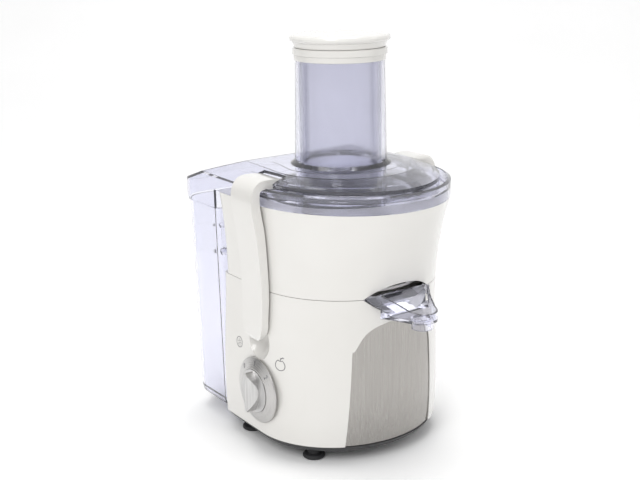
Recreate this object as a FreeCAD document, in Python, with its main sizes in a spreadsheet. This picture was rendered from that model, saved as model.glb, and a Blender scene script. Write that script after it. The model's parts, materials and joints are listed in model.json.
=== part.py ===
import FreeCAD, Part
import math
import os
import Sketcher

# Centrifugal juicer. Millimetres, +Z up, origin on the counter under the sieve's spin axis.
# The spout points to -Y, the pulp container is at +Y, the control knob is on the -X side.

V = FreeCAD.Vector
DOC = FreeCAD.newDocument("juicer")
SHEET = DOC.addObject("Spreadsheet::Sheet", "Sizes")

SIZES = {
    # heights
    "foot_z": 12.0, "base_z": 12.0, "shell_z": 18.0, "seam_z": 157.0, "rim_z": 236.0, "lid_rim_z": 250.0,
    "dome_z": 262.0, "tube_end_z": 194.0, "collar_z": 359.5, "collar_top_z": 365.8, "cap_top_z": 377.5,
    # feed tube and pusher
    "tube_ri": 37.5, "tube_ro": 40.0, "tube_ro_low": 42.0, "pusher_ro": 36.9, "pusher_wall": 2.2,
    "pusher_end_z": 198.0, "cap_ra": 45.2, "collar_ra": 42.4,
    # sieve
    "sieve_ra": 69.0, "mesh_top_ra": 65.0, "mesh_low_ra": 53.0, "mesh_th": 0.7, "sieve_top_z": 233.0,
    "mesh_low_z": 181.0, "disc_z": 182.0, "hub_ro": 17.0, "hub_ri": 11.4,
    # bowl
    "bowl_ri": 75.0, "bowl_ro": 77.4, "bowl_floor_z": 160.0,
    # motor
    "shaft_ra": 4.0, "stator_z": 52.0, "stator_len": 42.0, "stator_w": 88.0, "stator_bore": 26.5, "armature_ra": 25.8,
    "fan_ra": 37.0, "bearing_ro": 11.0, "deck_z": 149.0,
    # knob
    "knob_z": 60.0, "knob_y": 5.5, "dial_ra": 31.0, "grip_ra": 20.0,
    # clamps
    "arm_w": 34.0, "arm_y": 4.0, "hinge_x": 74.0, "hinge_z": 253.4, "pin_ra": 1.8, "barrel_ra": 4.0,
    # the sieve's axis in the part's frame
    "axis_y": -9.0,
    # wall thicknesses
    "wall": 3.4, "clear_wall": 2.4,
    # container
    "tub_y0": 74.6, "tub_y1": 145.0, "tub_w": 88.6, "tub_z0": 16.4, "tub_z1": 216.6,
}
for i, (k, v) in enumerate(SIZES.items(), start=1):
    SHEET.set("A%d" % i, k)
    SHEET.set("B%d" % i, repr(v))
    SHEET.setAlias("B%d" % i, k)
DOC.recompute()
S = dict(SIZES)
NODES = {}


def val(e):
    """Number of an expression over the sheet's aliases."""
    return float(number_of(e)) if isinstance(e, str) else float(e)


def number_of(text):
    # sums and differences of aliases and numbers, such as "tube_ro+2.5"
    total, sign, word = 0.0, 1.0, ""
    for ch in text.replace(" ", "") + "+":
        if ch in "+-":
            if word:
                total += sign * (S[word] if word in S else float(word))
            sign, word = (1.0 if ch == "+" else -1.0), ""
        else:
            word += ch
    return total


def bind_text(e):
    """The same expression as FreeCAD writes it, or None for a plain number."""
    if not isinstance(e, str):
        return None
    out, word = "", ""
    for ch in e.replace(" ", "") + "\0":
        if ch in "+-\0":
            out += ("Sizes." + word) if word in S else word
            out += "" if ch == "\0" else ch
            word = ""
        else:
            word += ch
    return out


def node(name, obj):
    obj.Label = name
    base = obj.Placement.Base
    # every piece hangs on the sieve's axis, which sits at axis_y
    obj.setExpression("Placement.Base.y", "Sizes.axis_y + %r" % base.y)
    NODES[name] = obj
    return obj


def plane_of(body, role):
    for f in body.Origin.OriginFeatures:
        if f.Role == role:
            return f
    raise RuntimeError(role)


def sketch_poly(body, name, plane, pts, constrain=True):
    """A closed polygon sketch whose corners are held by distances from the origin, bound to the sheet."""
    sk = body.newObject("Sketcher::SketchObject", name)
    sk.AttachmentSupport = [(plane_of(body, plane), "")]
    sk.MapMode = "FlatFace"
    n = len(pts)
    xy = [(val(a), val(b)) for a, b in pts]
    sk.addGeometry([Part.LineSegment(V(xy[i][0], xy[i][1], 0), V(xy[(i + 1) % n][0], xy[(i + 1) % n][1], 0)) for i in range(n)], False)
    cons = [Sketcher.Constraint("Coincident", i, 2, (i + 1) % n, 1) for i in range(n)]
    binds = []
    if constrain:
        for i, (a, b) in enumerate(pts):
            for axis, e, v in (("DistanceX", a, xy[i][0]), ("DistanceY", b, xy[i][1])):
                if abs(v) < 1e-9:
                    cons.append(Sketcher.Constraint("PointOnObject", i, 1, -2 if axis == "DistanceX" else -1))
                else:
                    cons.append(Sketcher.Constraint(axis, -1, 1, i, 1, v))
                    if bind_text(e):
                        binds.append((len(cons) - 1, bind_text(e)))
    sk.addConstraint(cons)
    for index, text in binds:
        sk.setExpression("Constraints[%d]" % index, text)
    return sk


def revolved(name, pts, place=None):
    """A turned piece: a profile of (radius, height) pairs spun about Z."""
    body = DOC.addObject("PartDesign::Body", name)
    sk = sketch_poly(body, name + "_profile", "XZ_Plane", pts)
    rev = body.newObject("PartDesign::Revolution", name + "_turn")
    rev.Profile = sk
    rev.ReferenceAxis = (sk, ["V_Axis"])
    rev.Angle = 360
    body.Tip = rev
    if place is not None:
        body.Placement = place
    return node(name, body)


def padded(name, pts, z, length, place=None):
    """A plate: a polygon on XY, padded up from z."""
    body = DOC.addObject("PartDesign::Body", name)
    sk = sketch_poly(body, name + "_outline", "XY_Plane", pts)
    sk.AttachmentOffset = FreeCAD.Placement(V(0, 0, val(z)), FreeCAD.Rotation())
    pad = body.newObject("PartDesign::Pad", name + "_pad")
    pad.Profile = sk
    pad.Length = val(length)
    if bind_text(length):
        pad.setExpression("Length", bind_text(length))
    body.Tip = pad
    if place is not None:
        body.Placement = place
    return node(name, body)


def shaped(name, shape, place=None):
    shape = upright(shape)
    obj = DOC.addObject("Part::Feature", name)
    obj.Shape = shape
    if place is not None:
        obj.Placement = place
    return node(name, obj)


# ---------------------------------------------------------------- plan outline of the body
def front_arc(w, l, z):
    pts = []
    for i in range(17):
        t = math.pi * i / 16
        pts.append(V(-w * math.cos(t), -l * math.sin(t), z))
    c = Part.BSplineCurve()
    c.interpolate(Points=pts, InitialTangent=V(0, -1, 0), FinalTangent=V(0, 1, 0))
    return c.toShape()


def outline(w, l, ye, z, rc=8.0, wr=None):
    """Round front about the axis, straight sides to ye, rounded rear corners."""
    wr = w - 0.8 if wr is None else wr
    edges = [front_arc(w, l, z)]
    a, b = V(w, 0, z), V(wr, ye - rc, z)
    edges.append(Part.LineSegment(a, b).toShape())
    k = rc * (1 - math.sqrt(0.5))
    edges.append(Part.Arc(b, V(wr - k, ye - k, z), V(wr - rc, ye, z)).toShape())
    edges.append(Part.LineSegment(V(wr - rc, ye, z), V(-wr + rc, ye, z)).toShape())
    edges.append(Part.Arc(V(-wr + rc, ye, z), V(-wr + k, ye - k, z), V(-wr, ye - rc, z)).toShape())
    edges.append(Part.LineSegment(V(-wr, ye - rc, z), V(-w, 0, z)).toShape())
    return Part.Wire(edges)


def loft(wires, ruled=False):
    s = Part.makeLoft(wires, True, ruled, False)
    if s.Volume < 0:
        s.reverse()
    return s


# half-width and front reach of the outer skin at each height
SKIN = [(9.0, 88.6, 78.5), (18.0, 91.2, 81.6), (45.0, 92.2, 84.0), (80.0, 91.6, 85.0), (120.0, 89.4, 85.0), (157.0, 88.0, 87.4), (195.0, 89.4, 94.4), (218.0, 91.6, 100.6), (236.0, 94.0, 107.0), (250.0, 94.0, 107.0)]


def skin_at(z):
    zs = [s[0] for s in SKIN]
    if z <= zs[0]:
        return SKIN[0][1:]
    if z >= zs[-1]:
        return SKIN[-1][1:]
    for i in range(len(zs) - 1):
        if zs[i] <= z <= zs[i + 1]:
            # cubic through neighbours (finite-difference tangents)
            def tangent(j, k):
                lo, hi = max(j - 1, 0), min(j + 1, len(zs) - 1)
                return (SKIN[hi][k] - SKIN[lo][k]) / (zs[hi] - zs[lo])
            u = (z - zs[i]) / (zs[i + 1] - zs[i])
            h = zs[i + 1] - zs[i]
            out = []
            for k in (1, 2):
                p0, p1, m0, m1 = SKIN[i][k], SKIN[i + 1][k], tangent(i, k) * h, tangent(i + 1, k) * h
                out.append((2 * u**3 - 3 * u**2 + 1) * p0 + (u**3 - 2 * u**2 + u) * m0 + (-2 * u**3 + 3 * u**2) * p1 + (u**3 - u**2) * m1)
            return tuple(out)


def skin_solid(z0, z1, inset, ye, rc=8.0, levels=None):
    count = max(2, int(round((z1 - z0) / 34.0)) + 1)
    zs = levels or [z0 + (z1 - z0) * i / (count - 1) for i in range(count)]
    wires = []
    for z in zs:
        w, l = skin_at(z)
        wires.append(outline(w - inset, l - inset, ye - inset, z, max(rc - inset, 1.0)))
    return loft(wires)


def upright(shape):
    """The same shape with its solids the right way out."""
    if shape.Volume >= 0:
        return shape
    out = []
    for sol in shape.Solids:
        if sol.Volume < 0:
            sol.reverse()
        out.append(sol)
    return out[0] if len(out) == 1 else Part.makeCompound(out)


def box(x0, x1, y0, y1, z0, z1):
    return Part.makeBox(x1 - x0, y1 - y0, z1 - z0, V(x0, y0, z0))


def cyl(r, z0, z1, x=0.0, y=0.0):
    return Part.makeCylinder(r, z1 - z0, V(x, y, z0))


def ring(ro, ri, z0, z1, x=0.0, y=0.0):
    return cyl(ro, z0, z1, x, y).cut(cyl(ri, z0 - 1, z1 + 1, x, y))


YE = 72.0
WALL = S["wall"]

# ---------------------------------------------------------------- motor unit housing
outer = skin_solid(S["shell_z"], S["seam_z"] - 0.25, 0.0, YE)
inner = skin_solid(S["shell_z"] - 3.0, S["deck_z"], WALL, YE)
top_recess = skin_solid(S["deck_z"] + 3.0, S["seam_z"] + 2, WALL, YE)
housing = outer.cut(inner).cut(top_recess)


def panel_prism(grow, y0=-130.0, y1=-30.0):
    """The arched outline of the front panel, extruded front to back."""
    g = grow
    zb, ze, zt, xb, xt = 6.0, 97.0, 134.0, 49.0, 44.0
    arch = [(xt + g, ze), (xt - 1.9 + g, ze + 12.0), (xt - 8.6 + g * 0.8, ze + 23.0 + g * 0.6), (xt * 0.5, zt - 3.6 + g), (0, zt + g)]
    arch = [V(x, y0, z) for x, z in arch] + [V(-x, y0, z) for x, z in arch[3::-1]]
    p = [V(-xb - g, y0, zb), V(xb + g, y0, zb), arch[0], arch[-1]]
    e = [Part.LineSegment(p[0], p[1]).toShape(), Part.LineSegment(p[1], p[2]).toShape()]
    c = Part.BSplineCurve()
    c.interpolate(Points=arch, InitialTangent=V(-0.04, 0, 1), FinalTangent=V(-0.04, 0, -1))
    e.append(c.toShape())
    e.append(Part.LineSegment(p[3], p[0]).toShape())
    return Part.Face(Part.Wire(e)).extrude(V(0, y1 - y0, 0))


recess_zone = upright(panel_prism(0.35).cut(skin_solid(12.0, 151.0, 2.1, YE)))
housing = housing.cut(recess_zone)

# finger scoops under the clamp tips, with a wall behind them
for sx in (-1, 1):
    cx, cy, cz = sx * (skin_at(104)[0] + 9.0), S["arm_y"] + 1.0, 107.0
    scoop = Part.makeSphere(19.0)
    scoop.Placement = FreeCAD.Placement(V(cx, cy, cz), FreeCAD.Rotation())
    back = Part.makeSphere(21.4)
    back.Placement = FreeCAD.Placement(V(cx, cy, cz), FreeCAD.Rotation())
    housing = housing.fuse(back.common(outer)).cut(scoop)

# opening of the spout, shared by both shells
def lens_prism(grow):
    g = grow
    pts = [V(-36 - g, -140, 157), V(-20, -140, 165.5 + g), V(0, -140, 168.5 + g), V(20, -140, 165.5 + g), V(36 + g, -140, 157)]
    top = Part.BSplineCurve(); top.interpolate(pts)
    low = Part.BSplineCurve(); low.interpolate([V(36 + g, -140, 157), V(22, -140, 147 - g), V(0, -140, 139.5 - g), V(-22, -140, 147 - g), V(-36 - g, -140, 157)])
    return Part.Face(Part.Wire([top.toShape(), low.toShape()])).extrude(V(0, 90, 0))


lens = lens_prism(0.0)
housing = housing.cut(lens.common(box(-60, 60, -140, -66, 130, 180)))
# shaft opening with an upstanding collar, knob hole, shelf for the container
housing = housing.fuse(ring(20.0, 16.0, S["deck_z"], S["deck_z"] + 8.0)).cut(cyl(16.0, S["deck_z"] - 5, S["deck_z"] + 20))
knob_hole = Part.makeCylinder(9.0, 30, V(-100, S["knob_y"], S["knob_z"]), V(1, 0, 0))
housing = housing.cut(knob_hole)
# screw posts for the base plate
POSTS = [(-50.0, -54.0), (50.0, -54.0), (-74.0, 24.0), (74.0, 24.0)]
for x, y in POSTS:
    housing = housing.fuse(ring(4.5, 1.45, 17.9, 42.0, x, y)).fuse(box(min(x, x * 1.5), max(x, x * 1.5), y - 1.2, y + 1.2, 19.0, 42.0).cut(cyl(4.0, 10, 45, x, y)).common(outer))
# motor pillars hanging from the deck
MOUNTS = [(45.0 * sx, 45.0 * sy) for sx in (-1, 1) for sy in (-1, 1)]
for x, y in MOUNTS:
    housing = housing.fuse(ring(5.0, 1.45, 134.0, S["deck_z"] + 0.5, x, y))
housing = housing.removeSplitter()
shaped("motor_housing", housing)

# ---------------------------------------------------------------- front panel (thin metal sheet)
panel = upright(upright(panel_prism(0.0).common(box(-90, 90, -140, -20, 18.2, 140)).cut(skin_solid(12.0, 151.0, 2.0, YE))).common(skin_solid(12.0, 151.0, 0.7, YE)))
shaped("front_panel", panel)

# ---------------------------------------------------------------- base plate
bw, bl = skin_at(9.0)
base = loft([outline(bw - 2.5, bl - 2.5, YE - 2.5, S["base_z"], 7), outline(bw - 0.4, bl - 0.4, YE - 0.8, 14.2, 8)], True)
w18, l18 = skin_at(18.0)
base = base.fuse(loft([outline(bw - 0.4, bl - 0.4, YE - 0.8, 14.2, 8), outline(w18 - 0.8, l18 - 0.8, YE - 1.0, 17.7, 8)], True))
base = base.cut(skin_solid(14.6, 24, WALL + 0.6, YE))
# a tongue at the rear carries the container
base = base.fuse(box(-46, 46, YE - 8.0, 116, S["base_z"], 15.8).cut(box(-42, 42, YE + 1.0, 112, 10.0, 13.6)))
for k in range(-4, 5):  # cooling slots under the motor
    base = base.cut(box(-30, 30, 5 + k * 7.0 - 1.6, 5 + k * 7.0 + 1.6, 5, 15))
FEET = [(-60.0, -36.0), (60.0, -36.0), (-72.0, 50.0), (72.0, 50.0)]
for x, y in POSTS:
    base = base.cut(cyl(1.8, 5, 20, x, y)).cut(cyl(3.6, 5, 13.2, x, y))
for x, y in FEET:
    base = base.cut(cyl(2.05, 5, 20, x, y))
# cord bay: a mouth in the rear edge
base = base.cut(cyl(6.0, 5, 20, 0, 56))
base = base.removeSplitter()
shaped("base_plate", base)
shaped("cord_bush", ring(8.0, 3.6, 11.0, 12.0, 0, 56).fuse(ring(5.9, 3.6, 11.9, 18.0, 0, 56)).removeSplitter())

# ---------------------------------------------------------------- feet
foot = revolved("foot_profile", [(0, 0), (8.8, 0), (10.2, 1.1), (10.2, 2.8), (9.2, 3.9), (5.8, 5.0), (5.2, 8.2), (6.6, "foot_z"), (2.0, "foot_z"), (2.0, "foot_z+4.4"), (0, "foot_z+4.4")])
del NODES["foot_profile"]
DOC.recompute()
for (x, y), name in zip(FEET, ("foot_front_left", "foot_front_right", "foot_rear_left", "foot_rear_right")):
    shaped(name, foot.Shape.copy(), FreeCAD.Placement(V(x, y, 0), FreeCAD.Rotation()))

screws = []
for x, y in POSTS:
    s = cyl(3.3, 12.2, 13.2, x, y).fuse(cyl(1.4, 13.1, 34.0, x, y)).cut(box(x - 0.5, x + 0.5, y - 2.4, y + 2.4, 12, 12.8)).cut(box(x - 2.4, x + 2.4, y - 0.5, y + 0.5, 12, 12.8))
    screws.append(s)
shaped("base_screws", Part.makeCompound(screws))

# ---------------------------------------------------------------- juice collector: white skirt, flange and inner bowl
sk_o = skin_solid(S["seam_z"] + 0.25, S["rim_z"] - 0.3, 0.0, YE, 14.0)
sk_i = skin_solid(S["seam_z"] - 2.0, S["rim_z"] + 3.0, 2.6, YE, 14.0)
skirt = sk_o.cut(sk_i)
flange = skin_solid(S["rim_z"] - 3.2, S["rim_z"] - 0.3, 1.0, YE, 14.0).cut(cyl(S["bowl_ri"], 100, 260))
bowl = cyl(S["bowl_ro"], S["bowl_floor_z"], S["rim_z"] - 0.3).cut(cyl(S["bowl_ri"], S["bowl_floor_z"] + 2.4, 260))
hub_collar = ring(22.4, 20.6, S["bowl_floor_z"], 170.5)
collector = skirt.fuse(flange).cut(cyl(S["bowl_ri"] + 1.0, S["bowl_floor_z"], 300)).fuse(bowl).fuse(hub_collar).cut(cyl(20.6, 100, 172.0))
# front outlet through the bowl wall
outlet = box(-15.0, 15.0, -84, -70, S["bowl_floor_z"] + 2.4, S["bowl_floor_z"] + 7.2)
collector = collector.cut(outlet)
collector = collector.cut(lens.common(box(-60, 60, -140, -79.0, 130, 180)))
collector = collector.removeSplitter()
shaped("juice_collector", collector)

# ---------------------------------------------------------------- spout
def tongue(grow, z0, z1):
    g = grow
    a = math.radians(24)
    r = 13.6 + g
    c = V(0, -115.5, z0)
    tx, ty = r * math.cos(a), r * math.sin(a)
    p0, p1 = V(-33.5 - g, -79.2 + (0 if g == 0 else 1.4), z0), V(-tx, c.y - ty, z0)
    p2, p3 = V(tx, c.y - ty, z0), V(33.5 + g, -79.2 + (0 if g == 0 else 1.4), z0)
    left = Part.BSplineCurve(); left.interpolate(Points=[p0, V(-21.5 - g, -101.0, z0), p1], InitialTangent=V(0.15, -1, 0), FinalTangent=V(math.sin(a), -math.cos(a), 0))
    right = Part.BSplineCurve(); right.interpolate(Points=[p2, V(21.5 + g, -101.0, z0), p3], InitialTangent=V(math.sin(a), math.cos(a), 0), FinalTangent=V(0.15, 1, 0))
    w = Part.Wire([left.toShape(), Part.Arc(p1, V(0, c.y - r, z0), p2).toShape(), right.toShape(), Part.LineSegment(p3, p0).toShape()])
    return Part.Face(w).extrude(V(0, 0, z1 - z0))


def wedge(pts_yz, w=60.0):
    return Part.Face(Part.makePolygon([V(-w, y, z) for y, z in pts_yz] + [V(-w, *pts_yz[0])])).extrude(V(2 * w, 0, 0))


sp_side = wedge([(-70, 168), (-86, 166.5), (-100, 158.5), (-116, 151.5), (-140, 148.5), (-140, 142.0), (-118, 141.2), (-100, 141.6), (-84, 142.5), (-70, 143.5)])
sp_outer = tongue(0.0, 130, 175).common(sp_side).common(lens_prism(-0.5).fuse(box(-60, 60, -150, -93, 120, 180)))
in_side = wedge([(-60, 190), (-140, 190), (-140, 143.6), (-118, 143.4), (-100, 144.6), (-86, 152.0), (-78.5, 158.6), (-60, 160.0)])
sp_inner = tongue(-1.8, 120, 190).common(in_side)
spout = sp_outer.cut(sp_inner).fuse(ring(9.6, 7.6, 134.5, 144.2, 0, -116.0)).cut(cyl(7.6, 120, 160, 0, -116.0))
# inlet throat that reaches the bowl
throat = box(-14.6, 14.6, -84.0, -77.8, 161.0, 167.2).cut(box(-12.8, 12.8, -90.0, -70.0, 162.6, 165.4))
spout = spout.fuse(throat.common(lens_prism(-0.5).fuse(box(-60, 60, -78.9, -70, 120, 180))))
spout = spout.cut(box(-12.8, 12.8, -90.0, -70.0, 162.6, 165.4)).cut(cyl(S["bowl_ro"] + 0.25, 100, 240))
solids = sorted(spout.Solids, key=lambda s: -s.Volume)
spout = solids[0].removeSplitter()
shaped("juice_spout", spout)

# ---------------------------------------------------------------- drive and sieve
revolved("motor_shaft", [(0, 22), ("shaft_ra", 22), ("shaft_ra", 172), (0, 172)])
cpl = cyl(9.4, 158.0, 175.6)
for k in range(6):
    a = math.radians(60 * k)
    cpl = cpl.fuse(cyl(2.2, 158.0, 175.6, 8.6 * math.cos(a), 8.6 * math.sin(a)))
cpl = cpl.fuse(cyl(13.0, 158.0, 160.5)).cut(cyl(S["shaft_ra"], 150, 172.0)).removeSplitter()
shaped("drive_coupling", cpl)
hub = cyl(S["hub_ro"], 163.0, 179.0).fuse(cyl(S["mesh_low_ra"] + 1.2, 176.4, S["mesh_low_z"]))
for k in range(12):
    a = math.radians(30 * k)
    r = box(14, 50, -0.9, 0.9, 173.4, 177.0)
    r.rotate(V(0, 0, 0), V(0, 0, 1), 30 * k)
    hub = hub.fuse(r.common(cyl(50, 170, 180)))
hub = hub.cut(cyl(S["hub_ri"], 160, 176.4)).removeSplitter()
shaped("sieve_base", hub)
revolved("sieve_mesh", [("mesh_low_ra", "mesh_low_z"), ("mesh_low_ra+0.7", "mesh_low_z"), ("mesh_top_ra+0.7", "sieve_top_z-7"), ("mesh_top_ra", "sieve_top_z-7")])
revolved("sieve_rim", [("mesh_top_ra-1", "sieve_top_z-7"), ("mesh_top_ra+1.5", "sieve_top_z-7"), ("sieve_ra", "sieve_top_z-3"), ("sieve_ra", "sieve_top_z"), ("sieve_ra-3", "sieve_top_z"), ("sieve_ra-4.4", "sieve_top_z-3")])
disc = cyl(S["mesh_low_ra"] - 0.3, S["mesh_low_z"], S["mesh_low_z"] + 1.0)
teeth = []
for ringr, n in ((12, 8), (20, 14), (28, 20), (36, 26), (44, 32)):
    for k in range(n):
        a = 2 * math.pi * (k + 0.31 * ringr) / n
        t = Part.makeCone(1.1, 0.25, 1.9, V(ringr * math.cos(a), ringr * math.sin(a), S["mesh_low_z"] + 0.8))
        teeth.append(t)
disc = disc.fuse(teeth).removeSplitter()
shaped("grater_disc", disc)
shaped("shaft_seal", ring(15.9, 4.1, 150.5, 154.5))

# ---------------------------------------------------------------- motor
z0, ln, sw, bore = S["stator_z"], S["stator_len"], S["stator_w"] / 2, S["stator_bore"]
lam = box(-sw, sw, -36, 36, z0, z0 + ln).cut(cyl(bore, 0, 200))
for sx in (-1, 1):
    lam = lam.cut(box(sx * 29 - 6.5, sx * 29 + 6.5, -26, -16, 0, 200)).cut(box(sx * 29 - 6.5, sx * 29 + 6.5, 16, 26, 0, 200))
    for sy in (-1, 1):
        lam = lam.cut(cyl(2.3, 0, 200, sx * 38.5, sy * 30.5))
shaped("stator_core", lam.removeSplitter())
coils = []
for sy in (-1, 1):
    path = box(-35.0, 35.0, min(sy * 16.8, sy * 25.2), max(sy * 16.8, sy * 25.2), z0 - 8.5, z0 + ln + 8.5)
    path = path.cut(box(-23.0, 23.0, -40, 40, z0 - 0.6, z0 + ln + 0.6)).cut(cyl(bore + 0.2, 0, 200))
    coils.append(path.common(box(-35, 35, -40, 40, 0, 200)))
shaped("field_coils", Part.makeCompound(coils))
arm = cyl(S["armature_ra"], z0, z0 + ln)
for k in range(12):
    a = 2 * math.pi * k / 12
    arm = arm.cut(cyl(2.4, z0 - 1, z0 + ln + 1, 20.5 * math.cos(a), 20.5 * math.sin(a)))
    slot = box(21.5, 30, -0.7, 0.7, z0 - 1, z0 + ln + 1)
    slot.rotate(V(0, 0, 0), V(0, 0, 1), 30 * k)
    arm = arm.cut(slot)
shaped("armature_core", arm.cut(cyl(S["shaft_ra"], 0, 200)).removeSplitter())
revolved("armature_windings_lower", [("shaft_ra", "stator_z-9"), (13, "stator_z-9"), (21.5, "stator_z-6"), (23.5, "stator_z-0.1"), ("shaft_ra", "stator_z-0.1")])
revolved("armature_windings_upper", [("shaft_ra", "stator_z+42.1"), (23.5, "stator_z+42.1"), (21.5, "stator_z+48"), (13, "stator_z+50"), ("shaft_ra", "stator_z+50")])
com = cyl(11.0, 31.0, z0 - 9.2).cut(cyl(S["shaft_ra"], 0, 60))
for k in range(12):
    g = box(9.6, 12, -0.25, 0.25, 30, 44)
    g.rotate(V(0, 0, 0), V(0, 0, 1), 30 * k)
    com = com.cut(g)
shaped("commutator", com)
fan = ring(9.0, S["shaft_ra"], 104.0, 116.0).fuse(ring(S["fan_ra"], 8.5, 104.0, 105.6))
for k in range(12):
    b = box(8.5, S["fan_ra"] - 0.4, -0.8, 0.8, 105.0, 116.0)
    b.rotate(V(20, 0, 0), V(0, 0, 1), 18)
    b.rotate(V(0, 0, 0), V(0, 0, 1), 30 * k)
    fan = fan.fuse(b.common(cyl(S["fan_ra"], 100, 120)))
shaped("cooling_fan", fan.cut(cyl(S["shaft_ra"], 90, 130)).removeSplitter())


def bracket(z, thick, depth, up):
    plate = box(-44, 44, -12, 12, z, z + thick).fuse(box(-34, 34, -26, 26, z, z + thick)).fuse(cyl(15.0, z, z + thick))
    cup = ring(14.0, 11.05, z - (0 if up else depth), z + thick + (depth if up else 0))
    return plate.fuse(cup).cut(cyl(11.05, z - 30, z + 40))


lower = bracket(24.0, 3.0, 0.0, True).cut(box(-50, 50, 13, 40, 0, 60)).cut(box(-50, 50, -40, -13, 0, 60))
for sx in (-1, 1):
    lower = lower.fuse(box(min(sx * 39, sx * 44), max(sx * 39, sx * 44), -12, 12, 24.0, z0 - 0.1))
lower = lower.cut(cyl(11.05, 0, 60))
shaped("lower_motor_bracket", lower.removeSplitter())
upper = ring(14.0, 11.05, 118.0, 125.0).fuse(box(-50, 50, -11, 11, 122.0, 125.0)).fuse(box(-11, 11, -50, 50, 122.0, 125.0)).fuse(ring(51, 40, 122.0, 125.0))
for x, y in MOUNTS:
    upper = upper.fuse(cyl(8.0, 122.0, 125.0, x, y)).fuse(box(min(x * 0.78, x), max(x * 0.78, x), min(y * 0.78, y), max(y * 0.78, y), 122.0, 125.0))
for sx in (-1, 1):
    for sy in (-1, 1):
        upper = upper.fuse(cyl(4.0, z0 + ln + 0.1, 124.0, sx * 38.5, sy * 30.5).cut(cyl(1.6, 60, 112.0, sx * 38.5, sy * 30.5)))
for x, y in MOUNTS:
    upper = upper.cut(cyl(5.0, 110, 140, x, y))
upper = upper.cut(cyl(11.05, 100, 140))
shaped("upper_motor_bracket", upper.removeSplitter())
for nm, zc in (("lower_bearing", 24.2), ("upper_bearing", 118.3)):
    race = ring(S["bearing_ro"], 8.6, zc, zc + 6.6).fuse(ring(6.4, S["shaft_ra"] + 0.02, zc, zc + 6.6)).fuse(ring(8.7, 6.3, zc + 2.0, zc + 4.6))
    shaped(nm, race.removeSplitter())
damp = []
for x, y in MOUNTS:
    damp.append(ring(8.0, 2.2, 125.0, 134.0, x, y).fuse(ring(4.9, 2.2, 121.9, 125.2, x, y)).fuse(ring(7.5, 2.2, 118.6, 122.0, x, y)).removeSplitter())
shaped("rubber_dampers", Part.makeCompound(damp))
ms = []
for x, y in MOUNTS:
    ms.append(cyl(4.2, 116.0, 118.5, x, y).fuse(cyl(1.4, 118.0, 146.0, x, y)))
shaped("motor_mount_screws", Part.makeCompound(ms))
holders, brushes = [], []
for sx in (-1, 1):
    x0, x1 = (11.6, 31.0) if sx > 0 else (-31.0, -11.6)
    h = box(x0, x1, -5.2, 5.2, 31.4, 40.4).cut(box(x0 - 1, x1 + 1, -3.2, 3.2, 33.4, 38.6)).fuse(box(min(sx * 16, sx * 28), max(sx * 16, sx * 28), -4.2, 4.2, 27.1, 31.6))
    holders.append(h)
    brushes.append(box(min(sx * 11.1, sx * 22), max(sx * 11.1, sx * 22), -3.0, 3.0, 33.6, 38.4))
shaped("brush_holders", Part.makeCompound(holders))
shaped("carbon_brushes", Part.makeCompound(brushes))

# ---------------------------------------------------------------- switch, board, interlock
AX = FreeCAD.Rotation(V(0, 0, 1), V(-1, 0, 0))  # local +Z points out of the -X side
KP = V(-skin_at(S["knob_z"])[0], S["knob_y"], S["knob_z"])


def out_side(shape, depth=0.0):
    shape = shape.copy()
    shape.Placement = FreeCAD.Placement(V(KP.x - depth, KP.y, KP.z), AX)
    return shape


def out_place(depth=0.0):
    return FreeCAD.Placement(V(KP.x - depth, KP.y, KP.z), AX)


dial = revolved("dial_ring", [("grip_ra+0.4", 0.4), ("dial_ra", 0.4), ("dial_ra", 1.3), ("dial_ra-0.6", 1.9), ("grip_ra+1.2", 4.7), ("grip_ra+0.4", 4.7)], out_place(0.0))
grip = Part.makeCylinder(S["grip_ra"], 4.6, V(0, 0, 0.6))
ra, hb = 19.4, 8.4
big = (ra * ra + hb * hb) / (2 * hb)
lensp = Part.makeCylinder(big, 20, V(0, big - hb, 3.0)).common(Part.makeCylinder(big, 20, V(0, hb - big, 3.0)))
roof = []
for y, z in ((-9.2, 3.0), (-8.2, 5.6), (-6.4, 9.3), (-3.6, 12.7), (0, 15.4), (3.6, 12.7), (6.4, 9.3), (8.2, 5.6), (9.2, 3.0)):
    roof.append(V(-25, y, z))
halfc1 = Part.BSplineCurve(); halfc1.interpolate(roof[1:5])
halfc2 = Part.BSplineCurve(); halfc2.interpolate(roof[4:8])
roofw = Part.Wire([Part.LineSegment(roof[0], roof[1]).toShape(), halfc1.toShape(), halfc2.toShape(), Part.LineSegment(roof[7], roof[8]).toShape(), Part.LineSegment(roof[8], roof[0]).toShape()])
roofs = Part.Face(roofw).extrude(V(50, 0, 0))
crest = Part.makeCylinder(95.0, 40, V(0, -20, 15.4 - 95.0), V(0, 1, 0))
ridge = lensp.common(roofs).common(crest)
# the ridge stands upright: its long axis is vertical on the body
grip = grip.fuse(ridge).cut(Part.makeCylinder(3.05, 8.0, V(0, 0, -2))).removeSplitter()
shaped("knob_grip", grip, out_place(0.0))
revolved("switch_spindle", [(0, -14.0), (3.0, -14.0), (3.0, 5.9), (0, 5.9)], out_place(0.0))
sw_body = Part.makeBox(30, 30, 20, V(-15, -15, -28.0)).fuse(Part.makeCylinder(8.4, 6.0, V(0, 0, -8.2))).cut(Part.makeCylinder(3.06, 16.0, V(0, 0, -14.2)))
for sy in (-1, 1):
    sw_body = sw_body.fuse(Part.makeBox(1.0, 5.0, 8.0, V(6.0 * sy - 0.5, -2.5, -36.0)))
shaped("rotary_switch", sw_body, out_place(0.0))
board = box(-34, 34, YE - 9.6, YE - 8.0, 60, 120)
shaped("speed_board", board)
comp = Part.makeCompound([box(-26, -8, YE - 19.0, YE - 9.7, 66, 84), box(8, 26, YE - 17.0, YE - 9.7, 66, 92), box(-20, 10, YE - 15.0, YE - 9.7, 98, 112)])
shaped("board_components", comp)
lockbox = []
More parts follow.
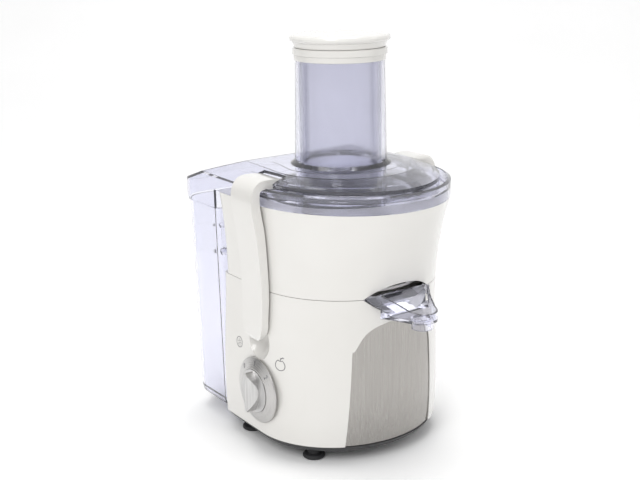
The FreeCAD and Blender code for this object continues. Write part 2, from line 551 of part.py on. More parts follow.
for sx in (-1, 1):
    lockbox.append(box(min(sx * 72, sx * 79), max(sx * 72, sx * 79), -12.0, 12.0, 128.0, 142.0))
shaped("interlock_switches", Part.makeCompound(lockbox))

# ---------------------------------------------------------------- pulp container
Y0, Y1, TW, TZ0, TZ1 = S["tub_y0"], S["tub_y1"], S["tub_w"], S["tub_z0"], S["tub_z1"]


def tub_wire(inset, z, draft):
    w = TW - inset - draft
    y1 = Y1 - inset - draft * 0.6
    y0 = Y0 + inset
    rc = 25.0 - inset
    rf = max(6.0 - inset, 1.0)
    k, kf = rc * (1 - math.sqrt(0.5)), rf * (1 - math.sqrt(0.5))
    p = [V(-w + rf, y0, z), V(w - rf, y0, z), V(w, y0 + rf, z), V(w, y1 - rc, z), V(w - rc, y1, z), V(-w + rc, y1, z), V(-w, y1 - rc, z), V(-w, y0 + rf, z)]
    return Part.Wire([
        Part.LineSegment(p[0], p[1]).toShape(),
        Part.Arc(p[1], V(w - kf, y0 + kf, z), p[2]).toShape(),
        Part.LineSegment(p[2], p[3]).toShape(),
        Part.Arc(p[3], V(w - k, y1 - k, z), p[4]).toShape(),
        Part.LineSegment(p[4], p[5]).toShape(),
        Part.Arc(p[5], V(-w + k, y1 - k, z), p[6]).toShape(),
        Part.LineSegment(p[6], p[7]).toShape(),
        Part.Arc(p[7], V(-w + kf, y0 + kf, z), p[0]).toShape(),
    ])


def tub_solid(inset, z0_, z1_, bottom_r):
    d = lambda z: 3.2 * (1 - (z - TZ0) / (TZ1 - TZ0))
    ws = [tub_wire(inset + bottom_r * 0.55, z0_, d(z0_)), tub_wire(inset + bottom_r * 0.18, z0_ + bottom_r * 0.3, d(z0_)), tub_wire(inset, z0_ + bottom_r, d(z0_)), tub_wire(inset, z1_, d(z1_))]
    return loft(ws, True)


tub_o = tub_solid(0.0, TZ0, TZ1, 7.0)
cw = S["clear_wall"]
bowl_clear = cyl(S["bowl_ro"] + 1.2, 152.0, 300.0)
bowl_clear_i = cyl(S["bowl_ro"] + 1.2 + cw, 152.0 - cw, 300.0)
gripbox = box(-52, 52, Y1 - 15.0, Y1 + 10, 156.0, 181.0)
gripbox_i = box(-52 - cw, 52 + cw, Y1 - 15.0 - cw, Y1 + 10, 156.0 - cw, 181.0 + cw)
tub = tub_o.cut(bowl_clear).cut(gripbox).cut(tub_solid(cw, TZ0 + cw, TZ1 + 5.0, 6.0).cut(bowl_clear_i).cut(gripbox_i))
tub = tub.removeSplitter()
shaped("pulp_container", tub)

# ---------------------------------------------------------------- lid
LW, LL, LYE, LWR, LRC = 94.0, 107.0, 147.6, 91.4, 28.0
CW = S["clear_wall"]


def lid_wire(inset, z):
    return outline(LW - inset, LL - inset, LYE - inset, z, LRC - inset, LWR - inset)


RZ, DZ = S["lid_rim_z"], S["dome_z"]


def dome(ri, z0_, z1_, inset, extra=0.0):
    """Frustum-like cap from the lid outline up to a near-round top about the axis."""
    ws = [lid_wire(inset, z0_)]
    for t in (0.35, 0.7, 1.0):
        w = (LW - inset) * (1 - t) + 56.0 * t
        l = (LL - inset) * (1 - t) + 56.0 * t
        ye = (LYE - inset) * (1 - t) + 62.0 * t
        wr = (LWR - inset) * (1 - t) + 50.0 * t
        rc = (LRC - inset) * (1 - t) + 34.0 * t
        z = z0_ + (z1_ - z0_) * math.sin(t * math.pi / 2) ** 1.0
        ws.append(outline(w, l, ye, z, rc, wr))
    return loft(ws, True)


rear_cut = wedge([(60, 262.3), (160, 228.0), (160, 300), (20, 300), (20, 262.3)], 130.0)
rear_cut_i = wedge([(60, 262.3 - CW), (160, 228.0 - CW), (160, 300), (20, 300), (20, 262.3 - CW)], 130.0)
blk_o = loft([lid_wire(0, 218.0), lid_wire(0, RZ)], True).fuse(dome(50, RZ, DZ, 0.0)).cut(rear_cut)
blk_i = loft([lid_wire(CW, 200.0), lid_wire(CW, RZ - CW)], True).fuse(dome(50, RZ - CW, DZ - CW, CW)).cut(rear_cut_i)
lid = blk_o.cut(blk_i).cut(box(-120, 120, -120, YE + 1.2, 200, S["rim_z"]))
# groove along the rim
g_o = loft([lid_wire(3.4, RZ - 4.2), lid_wire(2.6, RZ + 20)], True)
g_i = loft([lid_wire(9.6, RZ - 6.0), lid_wire(11.0, RZ + 20)], True)
gut = g_o.cut(g_i).common(box(-120, 120, -120, S["arm_y"], 200, 300))
gut_shell = loft([lid_wire(0.0, RZ - 6.4), lid_wire(0.0, RZ + 0.2)], True).cut(loft([lid_wire(12.6, RZ - 7.0), lid_wire(13.4, RZ + 1.0)], True)).common(box(-120, 120, -120, S["arm_y"] + 24.0, 200, 300))
gut_shell = gut_shell.common(blk_o)
lid = lid.fuse(gut_shell).cut(gut)
# feed tube
tube = Part.makeCone(40.9, S["tube_ro_low"], DZ - S["tube_end_z"], V(0, 0, S["tube_end_z"])).fuse(Part.makeCone(S["tube_ro_low"], S["tube_ro"], S["collar_z"] + 3.0 - DZ, V(0, 0, DZ)))
fill = Part.makeCone(47.5, 42.0, 4.2, V(0, 0, DZ - 1.2))
bore = cyl(S["tube_ri"], 100, 400)
lid = lid.cut(cyl(40.0, 100, 400)).fuse(fill.fuse(tube).cut(bore))
# notches and hinge lugs for the clamps
AW, AC = S["arm_w"] / 2, S["arm_y"]
for sx in (-1, 1):
    x0, x1 = (69.0, 110.0) if sx > 0 else (-110.0, -69.0)
    lid = lid.cut(box(x0, x1, AC - AW - 0.6, AC + AW + 0.6, 249.4, 300))
    pad_ = box(min(sx * 67, sx * 93.0), max(sx * 67, sx * 93.0), AC - AW - 3.4, AC + AW + 3.4, 246.8, 249.2).common(blk_o)
    lid = lid.fuse(pad_)
    for sy in (-1, 1):
        y0_ = AC + sy * (AW + 0.5)
        lug = box(min(sx * 70, sx * 79), max(sx * 70, sx * 79), min(y0_, y0_ + sy * 2.8), max(y0_, y0_ + sy * 2.8), 247.0, S["hinge_z"]).fuse(Part.makeCylinder(4.5, 2.8, V(sx * S["hinge_x"], min(y0_, y0_ + sy * 2.8), S["hinge_z"]), V(0, 1, 0)))
        lid = lid.fuse(lug)
    lid = lid.cut(Part.makeCylinder(S["pin_ra"], 60, V(sx * S["hinge_x"], AC - 30, S["hinge_z"]), V(0, 1, 0)))
shaped("lid", lid)
revolved("feed_tube_collar", [("tube_ro+0.26", "collar_z-5"), ("tube_ro+1.0", "collar_z-4.6"), ("tube_ro+1.2", "collar_z"), ("collar_ra", "collar_z+0.6"), ("collar_ra", "collar_top_z-0.8"), ("collar_ra-0.9", "collar_top_z"), ("tube_ri+0.1", "collar_top_z"), ("tube_ri+0.1", "collar_z+3.2"), ("tube_ro+0.26", "collar_z+3.2")])

# ---------------------------------------------------------------- pusher
revolved("pusher_sleeve", [(0, "pusher_end_z"), ("pusher_ro-1.5", "pusher_end_z"), ("pusher_ro", "pusher_end_z+1.5"), ("pusher_ro", "collar_top_z+0.6"), ("pusher_ro-2.2", "collar_top_z+0.6"), ("pusher_ro-2.2", "pusher_end_z+2.4"), (0, "pusher_end_z+2.4")])
revolved("pusher_cap", [(0, "cap_top_z"), (40, "cap_top_z"), (42.6, "cap_top_z-0.35"), (44.3, "cap_top_z-1.3"), ("cap_ra", "cap_top_z-2.9"), ("cap_ra-0.1", "cap_top_z-4.4"), (44.2, "cap_top_z-5.7"), (42.4, "cap_top_z-6.4"), (40.5, "collar_top_z+0.3"), ("pusher_ro+0.2", "collar_top_z+0.3"), ("pusher_ro+0.2", "collar_top_z+0.7"), ("pusher_ro-2.3", "collar_top_z+0.7"), ("pusher_ro-2.3", "collar_top_z-8"), ("pusher_ro-4.3", "collar_top_z-8"), ("pusher_ro-4.3", "cap_top_z-2.8"), (0, "cap_top_z-2.8")])

# ---------------------------------------------------------------- clamps
def arm_profile(sx):
    """Section of the arm in the XZ plane: over the lid's edge and down the side."""
    zs_in = [246.0, 236.0, 218.0, 195.0, 170.0, 150.0, 130.0, 118.0]
    inn = [V(sx * (skin_at(z)[0] + 1.5 + (0.6 if z > 230 else 0)), 0, z) for z in zs_in]
    out = [V(sx * (skin_at(z)[0] + d), 0, z) for z, d in ((118.0, 8.0), (130.0, 8.5), (150.0, 8.8), (170.0, 9.2), (195.0, 9.8), (218.0, 10.6), (236.0, 11.0), (246.0, 10.4))]
    tip = V(sx * (skin_at(111.0)[0] + 4.6), 0, 109.6)
    hx, hz, hr = S["hinge_x"], S["hinge_z"], S["barrel_ra"]
    a = V(sx * hx, 0, hz + hr)
    edges = []
    c1 = Part.BSplineCurve(); c1.interpolate(Points=[a, V(sx * 88, 0, 258.6), V(sx * 98.6, 0, 256.0), out[-1], out[-2], out[-3], out[-4], out[-5], out[-6], out[-7], out[0], tip], InitialTangent=V(sx, 0, 0.15))
    edges.append(c1.toShape())
    c2 = Part.BSplineCurve(); c2.interpolate([tip, inn[-1], inn[-2], inn[-3], inn[-4], inn[-5], inn[-6], inn[-7], inn[0]])
    edges.append(c2.toShape())
    under = V(sx * (hx + 3.6), 0, 250.3)
    edges.append(Part.Arc(inn[0], V(sx * 95.1, 0, 249.3), V(sx * 91.5, 0, 250.3)).toShape())
    edges.append(Part.LineSegment(V(sx * 91.5, 0, 250.3), under).toShape())
    edges.append(Part.LineSegment(under, V(sx * hx, 0, hz - 2.0)).toShape())
    edges.append(Part.LineSegment(V(sx * hx, 0, hz - 2.0), a).toShape())
    return Part.Face(Part.Wire(edges))


def arm_shape(sx):
    prof = arm_profile(sx)
    prof.translate(V(0, -AW, 0))
    s = prof.extrude(V(0, 2 * AW, 0))
    s = s.fuse(Part.makeCylinder(S["barrel_ra"], 2 * AW, V(sx * S["hinge_x"], -AW, S["hinge_z"]), V(0, 1, 0)))
    # the arm tapers slightly and ends in a rounded tip when seen from the side
    yz = Part.Wire([
        Part.LineSegment(V(0, -AW, 270), V(0, -AW, 150)).toShape(),
        Part.LineSegment(V(0, -AW, 150), V(0, -AW + 1.0, 128)).toShape(),
        Part.Arc(V(0, -AW + 1.0, 128), V(0, -7.0, 111.0), V(0, 6.0, 109.0)).toShape(),
        Part.LineSegment(V(0, 6.0, 109.0), V(0, AW - 1.5, 113.5)).toShape(),
        Part.LineSegment(V(0, AW - 1.5, 113.5), V(0, AW, 150)).toShape(),
        Part.LineSegment(V(0, AW, 150), V(0, AW, 270)).toShape(),
        Part.LineSegment(V(0, AW, 270), V(0, -AW, 270)).toShape(),
    ])
    side = Part.Face(yz)
    side.translate(V(-130 if sx < 0 else 60, 0, 0))
    s = s.common(side.extrude(V(70, 0, 0)))
    # long outer edges rounded
    s = s.removeSplitter()
    picks = []
    for e in s.Edges:
        b = e.BoundBox
        if b.ZLength > 60 and (b.YMax < -AW + 1.5 or b.YMin > AW - 2.0):
            mid = e.valueAt((e.FirstParameter + e.LastParameter) / 2)
            if abs(mid.x) > skin_at(mid.z)[0] + 5.0:
                picks.append(e)
    if picks:
        try:
            f = s.makeFillet(4.0, picks)
            if f.isValid() and f.Volume > 0:
                s = f
        except Exception as err:
            print("arm fillet left out:", err)
    return s.cut(Part.makeCylinder(S["pin_ra"] + 0.05, 60, V(sx * S["hinge_x"], -30, S["hinge_z"]), V(0, 1, 0)))


for sx, name in ((-1, "clamp_arm_left"), (1, "clamp_arm_right")):
    arm = arm_shape(sx)
    arm.translate(V(0, AC, 0))
    shaped(name, arm)
    shaped(name.replace("arm", "pin"), Part.makeCylinder(S["pin_ra"], 2 * AW + 6.4, V(sx * S["hinge_x"], AC - AW - 3.2, S["hinge_z"]), V(0, 1, 0)))

DOC.recompute()
os.makedirs("parts", exist_ok=True)
for f in os.listdir("parts"):
    if f.endswith(".step"):
        os.remove(os.path.join("parts", f))
bad = []
for o in DOC.Objects:
    if any(s in ("Invalid", "Error") for s in o.State):
        bad.append((o.Label, o.State))
for name, o in NODES.items():
    sh = o.Shape
    if sh.isNull() or not sh.isValid() or sh.Volume <= 0 or not sh.Solids:
        bad.append((name, "null" if sh.isNull() else "valid %s volume %.1f solids %d" % (sh.isValid(), sh.Volume, len(sh.Solids))))
if bad:
    for b in bad:
        print("BAD", b)
    raise SystemExit("a sub-part failed")
for name, o in NODES.items():
    o.Shape.exportStep(os.path.join("parts", name + ".step"))
    print("%-26s solids %d volume %9.1f  faces %d" % (name, len(o.Shape.Solids), o.Shape.Volume, len(o.Shape.Faces)))
print(len(NODES), "nodes")
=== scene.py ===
import json
import math

import bmesh
import bpy
from mathutils import Matrix, Vector


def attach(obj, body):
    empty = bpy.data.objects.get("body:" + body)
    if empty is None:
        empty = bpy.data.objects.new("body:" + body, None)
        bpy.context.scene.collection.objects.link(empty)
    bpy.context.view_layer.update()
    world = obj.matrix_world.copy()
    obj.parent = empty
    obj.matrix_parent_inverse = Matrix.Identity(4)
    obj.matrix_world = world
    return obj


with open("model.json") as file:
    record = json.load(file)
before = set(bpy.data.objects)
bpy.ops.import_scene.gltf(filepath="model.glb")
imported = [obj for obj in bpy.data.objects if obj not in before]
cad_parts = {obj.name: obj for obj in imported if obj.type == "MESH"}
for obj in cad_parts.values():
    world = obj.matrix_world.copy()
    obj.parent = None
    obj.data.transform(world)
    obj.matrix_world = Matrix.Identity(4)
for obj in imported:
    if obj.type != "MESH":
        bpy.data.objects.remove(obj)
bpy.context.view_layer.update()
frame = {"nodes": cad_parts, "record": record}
NODES = frame["nodes"]
AY = -0.009


# ------------------------------------------------------------------ camera
def make_camera():
    az, el, dist, roll = math.radians(-35.0), math.radians(15.3), 1.023, math.radians(-0.85)
    back = Vector((math.sin(az) * math.cos(el), -math.cos(az) * math.cos(el), math.sin(el)))
    aim = Vector((0, AY, 0.188))
    data = bpy.data.cameras.new("camera")
    data.lens, data.sensor_width = 61.9, 36.0
    cam = bpy.data.objects.new("camera", data)
    bpy.context.scene.collection.objects.link(cam)
    q = (-back).to_track_quat("-Z", "Y")
    right = q @ Vector((1, 0, 0))
    cam.rotation_mode = "QUATERNION"
    cam.location = aim + back * dist - right * 0.0201
    cam.rotation_quaternion = q @ Matrix.Rotation(roll, 4, "Z").to_quaternion()
    bpy.context.scene.camera = cam
    return cam


make_camera()


# ------------------------------------------------------------------ materials
def new_material(name):
    m = bpy.data.materials.new(name)
    m.use_nodes = True
    nt = m.node_tree
    nt.nodes.clear()
    out = nt.nodes.new("ShaderNodeOutputMaterial")
    b = nt.nodes.new("ShaderNodeBsdfPrincipled")
    nt.links.new(b.outputs[0], out.inputs[0])
    return m, nt, b


def tex_coord(nt, scale=(1, 1, 1), rot=(0, 0, 0)):
    c = nt.nodes.new("ShaderNodeTexCoord")
    mp = nt.nodes.new("ShaderNodeMapping")
    mp.inputs["Scale"].default_value = scale
    mp.inputs["Rotation"].default_value = rot
    nt.links.new(c.outputs["Object"], mp.inputs[0])
    return mp.outputs[0]


def noise(nt, vec, scale, detail=2.0, rough=0.5):
    n = nt.nodes.new("ShaderNodeTexNoise")
    n.inputs["Scale"].default_value = scale
    n.inputs["Detail"].default_value = detail
    n.inputs["Roughness"].default_value = rough
    nt.links.new(vec, n.inputs["Vector"])
    return n.outputs["Fac"]


def ramp(nt, fac, stops):
    r = nt.nodes.new("ShaderNodeValToRGB")
    r.color_ramp.elements[0].position, r.color_ramp.elements[0].color = stops[0][0], (*stops[0][1], 1)
    r.color_ramp.elements[1].position, r.color_ramp.elements[1].color = stops[-1][0], (*stops[-1][1], 1)
    for p, c in stops[1:-1]:
        e = r.color_ramp.elements.new(p)
        e.color = (*c, 1)
    nt.links.new(fac, r.inputs[0])
    return r.outputs[0]


def rng(nt, fac, lo, hi, a=0.0, b=1.0):
    r = nt.nodes.new("ShaderNodeMapRange")
    r.inputs["From Min"].default_value, r.inputs["From Max"].default_value = a, b
    r.inputs["To Min"].default_value, r.inputs["To Max"].default_value = lo, hi
    nt.links.new(fac, r.inputs["Value"])
    return r.outputs[0]


def bump(nt, fac, strength, dist, bsdf):
    bp = nt.nodes.new("ShaderNodeBump")
    bp.inputs["Strength"].default_value = strength
    bp.inputs["Distance"].default_value = dist
    nt.links.new(fac, bp.inputs["Height"])
    nt.links.new(bp.outputs[0], bsdf.inputs["Normal"])


def white_plastic():
    m, nt, b = new_material("white_plastic")
    v = tex_coord(nt)
    nt.links.new(ramp(nt, noise(nt, v, 9.0, 3), [(0.3, (0.70, 0.685, 0.655)), (0.7, (0.74, 0.727, 0.70))]), b.inputs["Base Color"])
    nt.links.new(rng(nt, noise(nt, v, 60.0, 4), 0.15, 0.24, 0.3, 0.7), b.inputs["Roughness"])
    b.inputs["IOR"].default_value = 1.5
    b.inputs["Coat Weight"].default_value = 0.5
    b.inputs["Coat Roughness"].default_value = 0.06
    b.inputs["Subsurface Weight"].default_value = 0.0
    bump(nt, noise(nt, v, 900.0, 2), 0.03, 0.0004, b)
    return m


def clear_plastic(name, tint_a, tint_b, rough=0.03, transmission=0.96, alpha=1.0):
    m, nt, b = new_material(name)
    v = tex_coord(nt)
    nt.links.new(ramp(nt, noise(nt, v, 6.0, 2), [(0.3, tint_a), (0.7, tint_b)]), b.inputs["Base Color"])
    nt.links.new(rng(nt, noise(nt, v, 45.0, 4), rough * 0.6, rough * 1.6, 0.3, 0.7), b.inputs["Roughness"])
    b.inputs["Transmission Weight"].default_value = transmission
    b.inputs["IOR"].default_value = 1.49
    b.inputs["Alpha"].default_value = alpha
    bump(nt, noise(nt, v, 160.0, 2), 0.02, 0.0006, b)
    m.use_backface_culling = False
    return m


def brushed(name, a, c, scale, rough=(0.26, 0.42), metallic=1.0):
    m, nt, b = new_material(name)
    v = tex_coord(nt, scale)
    streak = noise(nt, v, 1.0, 6, 0.65)
    nt.links.new(ramp(nt, streak, [(0.3, a), (0.72, c)]), b.inputs["Base Color"])
    b.inputs["Metallic"].default_value = metallic
    nt.links.new(rng(nt, streak, rough[0], rough[1], 0.3, 0.7), b.inputs["Roughness"])
    b.inputs["Anisotropic"].default_value = 0.5
    bump(nt, streak, 0.06, 0.0003, b)
    return m


def spun(name, a, c, centre, axis="X"):
    """Metal turned on a lathe: fine rings round an axis through centre."""
    m, nt, b = new_material(name)
    co = nt.nodes.new("ShaderNodeTexCoord")
    mp = nt.nodes.new("ShaderNodeMapping")
    mp.inputs["Location"].default_value = tuple(-x for x in centre)
    nt.links.new(co.outputs["Object"], mp.inputs[0])
    flat = nt.nodes.new("ShaderNodeVectorMath")
    flat.operation = "MULTIPLY"
    flat.inputs[1].default_value = (0, 1, 1) if axis == "X" else (1, 1, 0)
    nt.links.new(mp.outputs[0], flat.inputs[0])
    ln = nt.nodes.new("ShaderNodeVectorMath")
    ln.operation = "LENGTH"
    nt.links.new(flat.outputs[0], ln.inputs[0])
    comb = nt.nodes.new("ShaderNodeCombineXYZ")
    nt.links.new(ln.outputs["Value"], comb.inputs[0])
    n = noise(nt, comb.outputs[0], 2600.0, 4, 0.6)
    nt.links.new(ramp(nt, n, [(0.3, a), (0.7, c)]), b.inputs["Base Color"])
    b.inputs["Metallic"].default_value = 1.0
    nt.links.new(rng(nt, n, 0.22, 0.36, 0.3, 0.7), b.inputs["Roughness"])
    bump(nt, n, 0.05, 0.0002, b)
    return m


def matte(name, a, c, rough=(0.5, 0.7), grain=500.0, strength=0.12):
    m, nt, b = new_material(name)
    v = tex_coord(nt)
    nt.links.new(ramp(nt, noise(nt, v, 30.0, 4), [(0.3, a), (0.7, c)]), b.inputs["Base Color"])
    nt.links.new(rng(nt, noise(nt, v, 80.0, 3), rough[0], rough[1], 0.3, 0.7), b.inputs["Roughness"])
    bump(nt, noise(nt, v, grain, 3), strength, 0.0004, b)
    return m


def perforated():
    """Steel sheet with rows of fine holes, laid out by angle and height; the holes are painted near-black as
    painted shade.
    """
    m, nt, b = new_material("sieve_sheet")
    co = nt.nodes.new("ShaderNodeTexCoord")
    sep = nt.nodes.new("ShaderNodeSeparateXYZ")
    nt.links.new(co.outputs["Object"], sep.inputs[0])
    at = nt.nodes.new("ShaderNodeMath")
    at.operation = "ARCTAN2"
    nt.links.new(sep.outputs["X"], at.inputs[0])
    nt.links.new(sep.outputs["Y"], at.inputs[1])
    comb = nt.nodes.new("ShaderNodeCombineXYZ")
    nt.links.new(rng(nt, at.outputs[0], 0, 190, -math.pi, math.pi), comb.inputs[0])
    nt.links.new(rng(nt, sep.outputs["Z"], 0, 30, 0.178, 0.228), comb.inputs[1])
    vor = nt.nodes.new("ShaderNodeTexVoronoi")
    vor.inputs["Randomness"].default_value = 0.0
    vor.inputs["Scale"].default_value = 1.0
    nt.links.new(comb.outputs[0], vor.inputs["Vector"])
    hole = rng(nt, vor.outputs["Distance"], 0.0, 1.0, 0.24, 0.3)
    # painted shade: the holes get a near-black colour for the dark inside seen through them, they are not cut open
    nt.links.new(ramp(nt, hole, [(0.2, (0.05, 0.05, 0.055)), (0.8, (0.66, 0.66, 0.67))]), b.inputs["Base Color"])
    b.inputs["Metallic"].default_value = 1.0
    nt.links.new(rng(nt, noise(nt, comb.outputs[0], 3.0), 0.25, 0.4, 0.3, 0.7), b.inputs["Roughness"])
    bump(nt, hole, 0.4, 0.0004, b)
    return m


def winding():
    m, nt, b = new_material("copper_winding")
    v = tex_coord(nt, (1, 1, 1))
    w = nt.nodes.new("ShaderNodeTexWave")
    w.inputs["Scale"].default_value = 420.0
    w.inputs["Distortion"].default_value = 1.2
    w.inputs["Detail"].default_value = 2.0
    nt.links.new(v, w.inputs["Vector"])
    nt.links.new(ramp(nt, w.outputs["Fac"], [(0.1, (0.25, 0.09, 0.03)), (0.8, (0.72, 0.32, 0.13))]), b.inputs["Base Color"])
    b.inputs["Metallic"].default_value = 0.7
    b.inputs["Roughness"].default_value = 0.35
    bump(nt, w.outputs["Fac"], 0.4, 0.0006, b)
    return m


KX, KY, KZ = -0.0921, 0.0055 + AY, 0.060
WHITE = white_plastic()
CLEAR = clear_plastic("clear_lid", (0.86, 0.865, 0.96), (0.90, 0.90, 0.975))
TUB = clear_plastic("clear_container", (0.88, 0.885, 0.965), (0.915, 0.915, 0.98), 0.04, 0.97)
MILK = clear_plastic("milky_plastic", (0.955, 0.955, 0.98), (0.975, 0.975, 0.99), 0.10, 0.95)
PANEL = brushed("panel_steel", (0.33, 0.315, 0.30), (0.42, 0.405, 0.385), (1500, 1500, 10), (0.22, 0.30))
DIAL = spun("dial_metal", (0.40, 0.39, 0.38), (0.64, 0.63, 0.62), (KX, KY, KZ))
GRIP = brushed("grip_metal", (0.46, 0.455, 0.45), (0.66, 0.655, 0.65), (30, 1500, 25), (0.28, 0.4))
BLACK = matte("black_plastic", (0.018, 0.018, 0.02), (0.04, 0.04, 0.043), (0.35, 0.5), 700, 0.1)
RUBBER = matte("rubber", (0.016, 0.016, 0.018), (0.035, 0.035, 0.037), (0.6, 0.8), 400, 0.2)
BOARD = matte("circuit_board", (0.02, 0.12, 0.05), (0.03, 0.2, 0.08), (0.3, 0.45), 300, 0.1)
STEEL = brushed("bare_steel", (0.22, 0.22, 0.23), (0.42, 0.42, 0.43), (300, 300, 60), (0.3, 0.5))
ALU = brushed("aluminium", (0.52, 0.52, 0.53), (0.70, 0.70, 0.71), (200, 200, 200), (0.3, 0.5))
SIEVE = perforated()
COPPER = winding()
RIMSTEEL = spun("rim_steel", (0.55, 0.55, 0.56), (0.8, 0.8, 0.81), (0, AY, 0), "Z")
BY_SLOT = {"white_plastic": WHITE, "clear_plastic": CLEAR, "clear_smoke": TUB, "milky_plastic": MILK, "brushed_steel": PANEL, "sieve_steel": RIMSTEEL, "black_plastic": BLACK, "rubber": RUBBER, "copper": COPPER, "motor_steel": STEEL, "aluminium": ALU, "circuit_board": BOARD}
OVER = {"dial_ring": DIAL, "knob_grip": GRIP, "sieve_mesh": SIEVE}
slots = {s["node"]: s["material_slot"] for s in frame["record"]["subparts"]}
for name, o in NODES.items():
    mat = OVER.get(name, BY_SLOT[slots[name]])
    o.data.materials.clear()
    o.data.materials.append(mat)


# ------------------------------------------------------------------ printed marks
def ink(name, colour, darker):
    m, nt, b = new_material(name)
    v = tex_coord(nt)
    nt.links.new(ramp(nt, noise(nt, v, 400.0, 3), [(0.35, darker), (0.65, colour)]), b.inputs["Base Color"])
    b.inputs["Roughness"].default_value = 0.45
    return m


INK = ink("print_grey", (0.13, 0.13, 0.14), (0.09, 0.09, 0.10))


def mesh_object(name, bm, mat, body):
    me = bpy.data.meshes.new(name)
    bm.normal_update()
    bm.to_mesh(me)
    bm.free()
    me.materials.append(mat)
    o = bpy.data.objects.new(name, me)
    bpy.context.scene.collection.objects.link(o)
    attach(o, body)
    return o


def nearest_side(y, z, lift=0.00012):
    """A point on the housing's left side at that y and z, lifted along its normal."""
    o = NODES["motor_housing"]
    ok, loc, nor, _ = o.ray_cast(Vector((-0.2, y, z)), Vector((1, 0, 0)))
    if not ok:
        return Vector((KX, y, z)), Vector((-1, 0, 0))
    return loc + nor * lift, nor


def ribbon(bm, pts, w):
    """A drawn line of width w through 2-D points (y right-to-left, z up), as (y, z) quads on the housing."""
    n = len(pts)
    rows = []
    for i, p in enumerate(pts):
        a = Vector(pts[max(i - 1, 0)])
        c = Vector(pts[min(i + 1, n - 1)])
        d = (c - a).normalized() if (c - a).length > 1e-9 else Vector((1, 0))
        nrm = Vector((-d.y, d.x)) * (w / 2)
        rows.append((Vector(p) + nrm, Vector(p) - nrm))
    vs = []
    for r in rows:
        pair = []
        for q in r:
            loc, nor = nearest_side(q.x, q.y)
            pair.append((bm.verts.new(loc), bm.verts.new(loc - nor * 0.0002)))
        vs.append(pair)
    for i in range(n - 1):
        (a, ai), (b_, bi) = vs[i]
        (c, ci), (d, di) = vs[i + 1]
        for f in ((a, c, d, b_), (ai, bi, di, ci), (a, ai, ci, c), (b_, d, di, bi)):
            bm.faces.new(f)
    (a, ai), (b_, bi) = vs[0]
    bm.faces.new((a, b_, bi, ai))
    (c, ci), (d, di) = vs[-1]
    bm.faces.new((c, ci, di, d))


def circle2(cy, cz, r, a0=0.0, a1=360.0, n=22):
    return [(cy + r * math.cos(math.radians(a0 + (a1 - a0) * i / n)), cz + r * math.sin(math.radians(a0 + (a1 - a0) * i / n))) for i in range(n + 1)]


def pictograms():
    """Two generic fruit signs beside the knob: a cut citrus and an apple."""
    bm = bmesh.new()
    cy, cz = KY + 0.034, KZ + 0.036
    ribbon(bm, circle2(cy, cz, 0.0050), 0.0006)
    for k in range(6):
        a = math.radians(60 * k + 12)
        ribbon(bm, [(cy + 0.0008 * math.cos(a), cz + 0.0008 * math.sin(a)), (cy + 0.0036 * math.cos(a), cz + 0.0036 * math.sin(a))], 0.0004)
    cy, cz = KY - 0.030, KZ + 0.032
    ribbon(bm, [(cy + 0.0052 * math.sin(t) * (1 - 0.10 * math.cos(t)), cz + 0.0050 * math.cos(t) - (0.0012 if abs(t) < 0.3 or abs(t) > 5.98 else 0)) for t in [2 * math.pi * i / 26 for i in range(27)]], 0.0006)
    ribbon(bm, [(cy, cz + 0.0040), (cy - 0.0006, cz + 0.0068)], 0.0006)
    ribbon(bm, [(cy - 0.0006, cz + 0.0058), (cy - 0.0026, cz + 0.0074), (cy - 0.0040, cz + 0.0068)], 0.0008)
    return mesh_object("knob_pictograms", bm, INK, "motor_unit")


pictograms()


def dial_marks():
    """Numbers on the dial's sloping face."""
    made = []
    for label, deg in (("0", 45.0), ("1", 0.0), ("2", -45.0)):
        cu = bpy.data.curves.new("mark_" + label, "FONT")
        cu.body = label
        cu.size = 0.0068
        cu.align_x, cu.align_y = "CENTER", "CENTER"
        cu.extrude = 0.00006
        t = bpy.data.objects.new("mark_src_" + label, cu)
        bpy.context.scene.collection.objects.link(t)
        dg = bpy.context.evaluated_depsgraph_get()
        me = bpy.data.meshes.new_from_object(t.evaluated_get(dg))
        bpy.data.objects.remove(t)
        a = math.radians(deg)
        r = 0.0258
        # the dial's face slopes outwards from its rim to its inner edge
        slope = math.atan2(0.0028, 0.0092)
        up = Vector((0, math.sin(a), math.cos(a)))  # away from the knob's axis
        out = Vector((-1, 0, 0))
        side = up.cross(out)
        nrm = (out * math.cos(slope) + up * math.sin(slope)).normalized()
        top = (up * math.cos(slope) - out * math.sin(slope)).normalized()
        right = top.cross(nrm)
        h = 0.0019 + (0.0304 - r) * (0.0028 / 0.0092) + 0.00008
        pos = Vector((KX, KY, KZ)) + up * r + out * h
        mtx = Matrix((right, top, nrm)).transposed().to_4x4()
        mtx.translation = pos
        me.transform(mtx)
        me.materials.clear()
        me.materials.append(INK)
        o = bpy.data.objects.new("dial_mark_" + label, me)
        bpy.context.scene.collection.objects.link(o)
        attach(o, "motor_unit")
        made.append(o)
    return made


dial_marks()

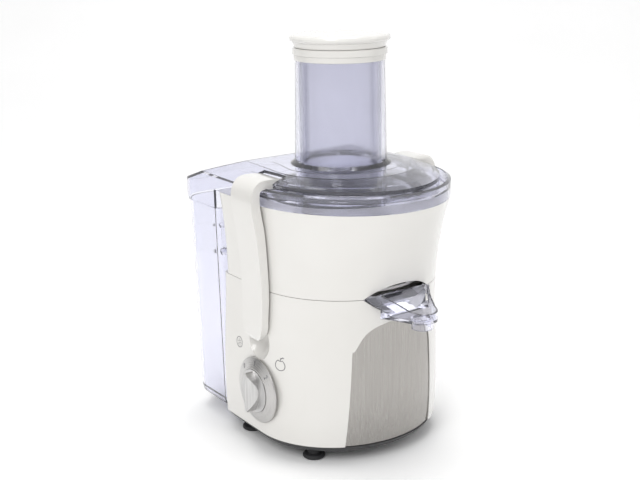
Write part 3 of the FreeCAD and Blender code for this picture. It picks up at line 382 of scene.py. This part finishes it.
# ------------------------------------------------------------------ floor and light
bm = bmesh.new()
prof = [(-2.2, 0.0), (1.4, 0.0)]
for i in range(1, 13):
    a = math.radians(90 * i / 12)
    prof.append((1.4 + 0.9 * math.sin(a), 0.9 * (1 - math.cos(a))))
prof.append((2.3, 3.2))
rows = []
for y, z in prof:
    rows.append([bm.verts.new((x, y, z)) for x in (-4.0, 4.0)])
for a, b in zip(rows, rows[1:]):
    bm.faces.new((a[0], a[1], b[1], b[0]))
me = bpy.data.meshes.new("floor")
bm.to_mesh(me)
bm.free()
for p in me.polygons:
    p.use_smooth = True
floor = bpy.data.objects.new("floor", me)
bpy.context.scene.collection.objects.link(floor)
m, nt, b = new_material("floor_paper")
v = tex_coord(nt)
nt.links.new(ramp(nt, noise(nt, v, 3.0, 2), [(0.3, (0.98, 0.98, 0.98)), (0.7, (1.0, 1.0, 1.0))]), b.inputs["Base Color"])
b.inputs["Roughness"].default_value = 0.9
b.inputs["Specular IOR Level"].default_value = 0.1
me.materials.append(m)
floor.rotation_euler = (0, 0, math.radians(-35))

world = bpy.data.worlds.new("world")
world.use_nodes = True
bg = world.node_tree.nodes["Background"]
bg.inputs["Color"].default_value = (1, 1, 1, 1)
bg.inputs["Strength"].default_value = 0.7
bpy.context.scene.world = world


def area(name, loc, target, size, power, size_y=None):
    d = bpy.data.lights.new(name, "AREA")
    d.energy = power
    d.size = size
    if size_y:
        d.shape = "RECTANGLE"
        d.size_y = size_y
    o = bpy.data.objects.new(name, d)
    o.location = loc
    o.rotation_euler = (Vector(target) - Vector(loc)).to_track_quat("-Z", "Y").to_euler()
    bpy.context.scene.collection.objects.link(o)
    return o


area("key", (-1.5, -1.0, 1.7), (0, 0, 0.2), 0.9, 18, 1.3)
area("fill", (1.6, -1.3, 1.1), (0, 0, 0.2), 1.0, 4, 1.4)
area("top", (0.1, 0.3, 2.0), (0, 0, 0.1), 1.2, 16)
bpy.context.scene.view_settings.view_transform = "Standard"


def flag(name, loc, target, w, h):
    """A dark card beside the set, seen only in reflections and through clear edges."""
    bm = bmesh.new()
    vs = [bm.verts.new(v) for v in ((-w / 2, -h / 2, 0), (w / 2, -h / 2, 0), (w / 2, h / 2, 0), (-w / 2, h / 2, 0))]
    bm.faces.new(vs)
    me = bpy.data.meshes.new(name)
    bm.to_mesh(me)
    bm.free()
    me.materials.append(BLACK)
    o = bpy.data.objects.new(name, me)
    o.location = loc
    o.rotation_euler = (Vector(target) - Vector(loc)).to_track_quat("-Z", "Y").to_euler()
    o.visible_camera = False
    o.visible_shadow = False
    bpy.context.scene.collection.objects.link(o)


flag("card_right", (1.1, -0.75, 0.35), (0, 0, 0.25), 0.34, 1.1)
flag("card_left", (-0.75, 0.75, 0.35), (0, 0, 0.25), 0.34, 1.1)
